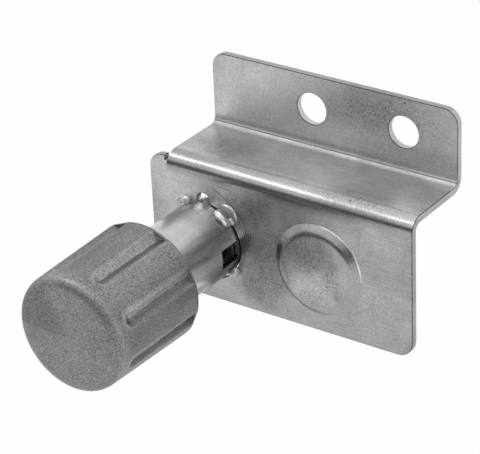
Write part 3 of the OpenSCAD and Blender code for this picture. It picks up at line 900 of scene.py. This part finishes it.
# Spring seats: punched and plated washers. The rear one lies on the bush, and the front one under
# the knob's floor, where it lets the knob turn on the spring.
spring_back, spring_front, knob_seat = 21.0, 53.0, 54.2
washer_plating = plain_material(
    "plated_washer", (0.34, 0.34, 0.345), (0.5, 0.5, 0.505), 1.0, 0.25, 0.42, 350.0, 0.02,
)
seat_shape = chamfered_ring(9.6, 5.4, bush_front, spring_back, 0.15)
place_round("rear_seat_washer", seat_shape, washer_plating, "housing", "rear_spring_seat")
seat_shape = chamfered_ring(11.6, 6.5, spring_front, knob_seat, 0.15)
place_round("front_seat_washer", seat_shape, washer_plating, "slider", "front_spring_seat")


# Return spring: seven turns of 1.3 mm wire round the spindle, wound with closed end turns. It is
# pressed from 32 mm to 14 mm as the knob goes in.
wire_r = 0.65
coil_r = 7.9
wire_gap = 0.05
spring_low = spring_back + wire_r + wire_gap
spring_high = spring_front - wire_r - wire_gap
closed_rise = 2 * wire_r + wire_gap
steps_per_turn = 48
coil_shape = bmesh.new()
bmesh.ops.create_circle(
    coil_shape, cap_ends=True, segments=14, radius=wire_r,
    matrix=Matrix.Translation((coil_r, 0, spring_low)) @ Matrix.Rotation(math.radians(90), 4, "X"),
)
tip = coil_shape.faces[:]
open_rise = spring_high - spring_low - 2 * closed_rise
for turns, rise in ((1, closed_rise), (5, open_rise), (1, closed_rise)):
    steps = steps_per_turn * turns
    last = spun(coil_shape, tip, math.tau * turns, steps, rise=rise / steps)
    tip = [f for f in last if isinstance(f, bmesh.types.BMFace)]
inside_wire = [f for f in coil_shape.faces if all(len(e.link_faces) > 2 for e in f.edges)]
bmesh.ops.delete(coil_shape, geom=inside_wire, context="FACES_ONLY")
bmesh.ops.recalc_face_normals(coil_shape, faces=coil_shape.faces)
coil = place_round("wound_spring", coil_shape, dark_spring_steel, "housing", "return_spring")
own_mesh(coil)


# Spindle: turned and polished rod, threaded into the knob's hub in front and pinned in the bolt
# behind, with the roll pin's cross hole.
def broken_copy(name, node, width, material):
    """The CAD node's shape with its edges broken by that many mm, under its own name and finish."""
    shape = merged_copy(node)
    break_edges(shape, width * MM)
    made = new_object(name, shape)
    finish_smooth(made)
    made.data.materials.append(material)
    return made


turned_steel = plain_material(
    "polished_steel", (0.5, 0.5, 0.505), (0.64, 0.64, 0.645), 1.0, 0.12, 0.25, 260.0, 0.01,
)
spindle = broken_copy("turned_spindle", "spindle", 0.2, turned_steel)
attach(spindle, "button")
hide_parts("spindle")


# Locking bolt: a turned steel nose with a wide collar that fills the tube's bore, blackened in hot
# salts and oiled. The roll pin holds it on the spindle.
blackened = plain_material(
    "blackened_bolt", (0.008, 0.008, 0.009), (0.022, 0.022, 0.023), 0.3, 0.3, 0.5, 240.0, 0.01,
)
bolt = broken_copy("turned_bolt", "locking_bolt", 0.2, blackened)
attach(bolt, "button")
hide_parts("locking_bolt")


# Roll pin: a rolled spring steel tube, driven across the bolt and the spindle through one of the
# tube's windows. It is as dark as the bolt.
black_pin = plain_material(
    "blackened_pin", (0.01, 0.01, 0.011), (0.03, 0.03, 0.031), 0.4, 0.35, 0.5, 400.0, 0.01,
)
pin = broken_copy("rolled_pin", "bolt_pin", 0.15, black_pin)
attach(pin, "button")
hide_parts("bolt_pin")


# Stop washer: a moulded nylon buffer tight on the spindle in front of the bolt's collar, which
# meets the bush when the button springs out. It ends just short of the bush's face.
natural_nylon = plain_material(
    "natural_nylon", (0.5, 0.47, 0.38), (0.62, 0.6, 0.5), 0.0, 0.4, 0.55, 200.0, 0.02,
)
buffer_shape = chamfered_ring(8.3, 5.0, 7.7, bush_back - 0.03, 0.25)
place_round("nylon_buffer", buffer_shape, natural_nylon, "button", "stop_washer")


# Knob: cast zinc or steel, blasted to a fine sparkling grain, with eight V flutes that stop at a
# lip at the rim, and hollow behind. It is screwed onto the spindle through its hub.
knob_low = 26.1
knob_long = 33.0
knob_rim_r = 16.85
knob_front_r = 16.1
rim_chamfer = 0.4
front_round = 2.4
front_run = 3.5
front_dome = 0.3
skirt_r = 12.0
hub_r = 6.3
thread_r = 4.0
knob_front = knob_low + knob_long
knob_floor = knob_front - 4.8
hub_low = knob_floor - 9.6
thread_end = hub_low + 11.1
flute_count = 8
flute_turn = math.radians(23)
flute_root = knob_rim_r - 1.6
flute_slope = math.tan(math.radians(55))
flute_low = knob_low + 1.1
flute_high = flute_low + 24.5
lip_flat = knob_rim_r - 0.2
lip_flat_end = flute_low + 0.5
arris_round = 0.3
root_round = 0.45
root_lift = 0.3
lip_round = 0.08
edge_steps = 16
face_rings = 10
sector_steps = 72
off_flute = 2.0


def soft_min(a, b, width):
    """The lesser of two values, rounded where they meet."""
    h = max(0.0, min(1.0, 0.5 + 0.5 * (b - a) / width))
    return b + (a - b) * h - width * h * (1 - h)


outside = [(knob_rim_r - rim_chamfer, knob_low), (knob_rim_r, knob_low + rim_chamfer)]
edge_middle = knob_front - front_dome - front_round
stations = in_steps(knob_low + rim_chamfer + 0.1, flute_low - 0.04, 0.2)
stations += in_steps(flute_low + 0.04, flute_low + 1.2, 0.15)
stations += in_steps(flute_low + 1.5, flute_high - 0.5, 0.5)
stations += in_steps(flute_high - 0.3, edge_middle - 0.4, 0.2)
slope = (knob_rim_r - knob_front_r) / knob_long
outside += [(knob_rim_r - slope * (h - knob_low), h) for h in stations]
turn_r = knob_front_r - front_run
for i in range(edge_steps + 1):
    a = math.radians(90 * i / edge_steps)
    outside.append((turn_r + front_run * math.cos(a), edge_middle + front_round * math.sin(a)))
for i in range(1, face_rings):
    r = turn_r * (1 - i / face_rings)
    outside.append((r, knob_front - front_dome * (r / turn_r) ** 2))
inside = [
    (0, thread_end), (thread_r, thread_end - 0.6), (thread_r, hub_low + 0.4), (thread_r + 0.4, hub_low),
    (hub_r - 0.4, hub_low), (hub_r, hub_low + 0.4), (hub_r, knob_floor), (skirt_r, knob_floor),
    (skirt_r, knob_low + 0.6), (skirt_r + 0.3, knob_low),
]
pitch = math.tau / flute_count
sector = bmesh.new()
verts = [sector.verts.new((r, 0, h)) for r, h in inside + outside + [(0, knob_front)]]
edges = [sector.edges.new(pair) for pair in zip(verts, verts[1:])]
first = Matrix.Rotation(flute_turn - pitch / 2, 3, "Z")
bmesh.ops.rotate(sector, cent=(0, 0, 0), matrix=first, verts=verts)
spun(sector, verts + edges, pitch, sector_steps)
flute_half_wide = (knob_rim_r - flute_root) * flute_slope
across_flute = sector.verts.layers.float.new("across_flute")
for vert in sector.verts:
    x, y, h = vert.co
    radius = math.hypot(x, y)
    vert[across_flute] = off_flute
    if radius < skirt_r + 1 or h > edge_middle + 0.01:
        continue
    off = math.atan2(y, x) - flute_turn
    new = radius
    if h < lip_flat_end:
        new = min(new, soft_min(radius, radius - knob_rim_r + lip_flat / math.cos(off), lip_round))
    if h > flute_low:
        across = radius * math.sin(off)
        past = max(0.0, h - flute_high)
        reach = math.sqrt(across ** 2 + past ** 2 + root_round ** 2)
        vert[across_flute] = math.copysign(reach, across) / flute_half_wide
        floor_r = (flute_root - root_lift + reach / flute_slope) / math.cos(off)
        new = min(new, soft_min(new, floor_r, arris_round))
    vert.co.x = x * new / radius
    vert.co.y = y * new / radius
eighth = bpy.data.meshes.new("knob_eighth")
sector.to_mesh(eighth)
sector.free()
knob_shape = bmesh.new()
for i in range(flute_count):
    knob_shape.from_mesh(eighth)
    added = knob_shape.verts[-len(eighth.vertices):]
    bmesh.ops.rotate(knob_shape, cent=(0, 0, 0), matrix=Matrix.Rotation(pitch * i, 3, "Z"), verts=added)
bpy.data.meshes.remove(eighth)
bmesh.ops.remove_doubles(knob_shape, verts=knob_shape.verts, dist=1e-4)
bmesh.ops.recalc_face_normals(knob_shape, faces=knob_shape.faces)
bmesh.ops.transform(knob_shape, matrix=on_axis, verts=knob_shape.verts)
knob = new_object("fluted_knob", knob_shape)
finish_smooth(knob, math.radians(40))

blasted, tree, output, place, (x, y, z) = start_material("blasted_casting")
grain = put(tree, "ShaderNodeTexVoronoi", {"Vector": place, "Scale": 5200.0}).outputs["Color"]
grain = put(tree, "ShaderNodeSeparateColor", {0: grain}).outputs[0]
fine = noise_at(tree, place, 2200.0, 3.0, 0.7)
cloud = noise_at(tree, place, 110.0, 4.0, 0.6)
tone = calc(tree, "MULTIPLY_ADD", grain, 0.6, product(tree, fine, 0.5))
tone = calc(tree, "MULTIPLY_ADD", cloud, 0.3, tone)
base = mix(tree, remap(tree, tone, 0.35, 1.1), grey(0.11, 0.01), grey(0.38, 0.01))
base = tint(tree, base, use_group(tree, speck_group, place, 4200.0, 0.4, 0.05)[0], 0.5, 0.7)


def tone_along(tree, value, stops):
    """A tone round 1 that follows a value from 0 to 1 by stops, each of them half the tone there."""
    made = put(tree, "ShaderNodeValToRGB", {0: value})
    ramp = made.color_ramp
    ramp.interpolation = "EASE"
    for end in ramp.elements:
        end.color = grey(0.5)
    for position, half in stops:
        ramp.elements.new(position).color = grey(half)
    return product(tree, made.outputs[0], 2.0)


# The flutes' walls carry painted shade and painted highlight, one wall darker and the root and the
# other wall lighter, the same in every flute; part of their darkness is dirt. The barrel has painted
# light and shade round it, and the face keeps one tone.
flute_place = calc(tree, "MULTIPLY_ADD", attribute(tree, "across_flute"), 0.25, 0.5)
# Painted shade and highlight across each flute, with some dirt.
flute_dirt_and_light = tone_along(tree, flute_place, (
    (0.14, 0.5), (0.24, 0.62), (0.31, 0.42), (0.38, 0.34), (0.45, 0.4), (0.52, 0.82),
    (0.6, 1.0), (0.68, 0.95), (0.74, 0.8), (0.85, 0.5),
))
round_at = angle_on_axis(tree, x, z)
# Painted light and shade round the barrel.
barrel_painted_light = tone_along(tree, remap(tree, round_at, -math.pi, math.pi), (
    (0.417, 0.44), (0.5, 0.41), (0.555, 0.52), (0.61, 0.54), (0.655, 0.6), (0.675, 0.46),
    (0.705, 0.44), (0.727, 0.5), (0.745, 0.46), (0.78, 0.36), (0.83, 0.26), (0.92, 0.3),
))
face_tone = 1.12
on_barrel = remap(tree, y, plate - 56.5, plate - 53)
barrel_light_and_face_tone = calc(tree, "MULTIPLY_ADD", calc(tree, "SUBTRACT", barrel_painted_light, face_tone), on_barrel, face_tone)
base = vector_calc(tree, "SCALE", base, scale=product(tree, flute_dirt_and_light, barrel_light_and_face_tone))
finish_material(tree, output, base, 0.85, remap(tree, round_at, 1.9, 2.2, 0.4, 0.62), tone, 0.6, 0.1)
knob.data.materials.append(blasted)
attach(knob, "button")
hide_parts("knob")


# Skirt liner: a black acetal slide ring pressed into the knob's skirt, which runs on the tube
# with a little play.
liner_bore, liner_back, liner_front = 11.05, 26.9, 32.9
black_acetal = plain_material(
    "black_acetal", (0.008, 0.008, 0.009), (0.02, 0.02, 0.021), 0.0, 0.35, 0.5, 220.0, 0.02,
)
liner_shape = chamfered_ring(skirt_r, liner_bore, liner_back, liner_front, 0.2, 160)
place_round("acetal_liner", liner_shape, black_acetal, "button", "skirt_liner")
